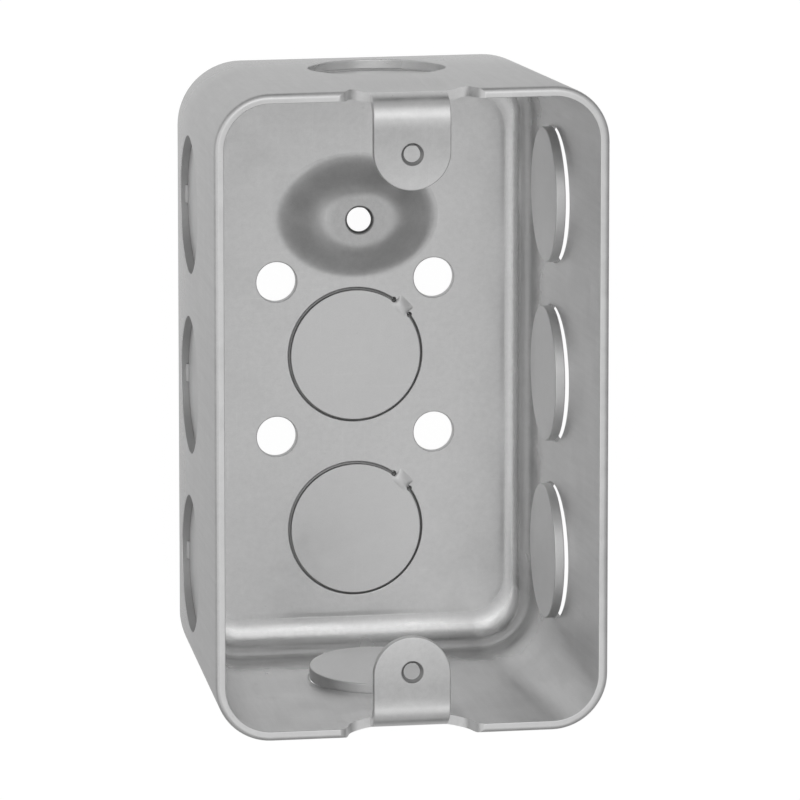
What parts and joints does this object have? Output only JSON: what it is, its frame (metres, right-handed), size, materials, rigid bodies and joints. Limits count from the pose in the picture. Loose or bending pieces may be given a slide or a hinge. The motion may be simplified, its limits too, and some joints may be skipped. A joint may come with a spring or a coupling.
{
  "type": "handy box",
  "caption": "Deep-drawn galvanised steel utility box, open at the front, with knockouts in its walls and back, device ears and a raised ground-screw boss.",
  "frame": {"origin": "middle of the flat outer back face, which the box rests on", "axes": "+Z out of the open front, +Y along the long side towards the ground-screw boss, +X across the width"},
  "size_m": [0.0634, 0.104, 0.054],
  "materials": {
    "galvanised_steel": "satin zinc coating"
  },
  "bodies": {
    "root": {"handy_box": "galvanised_steel"}
  },
  "joints": []
}
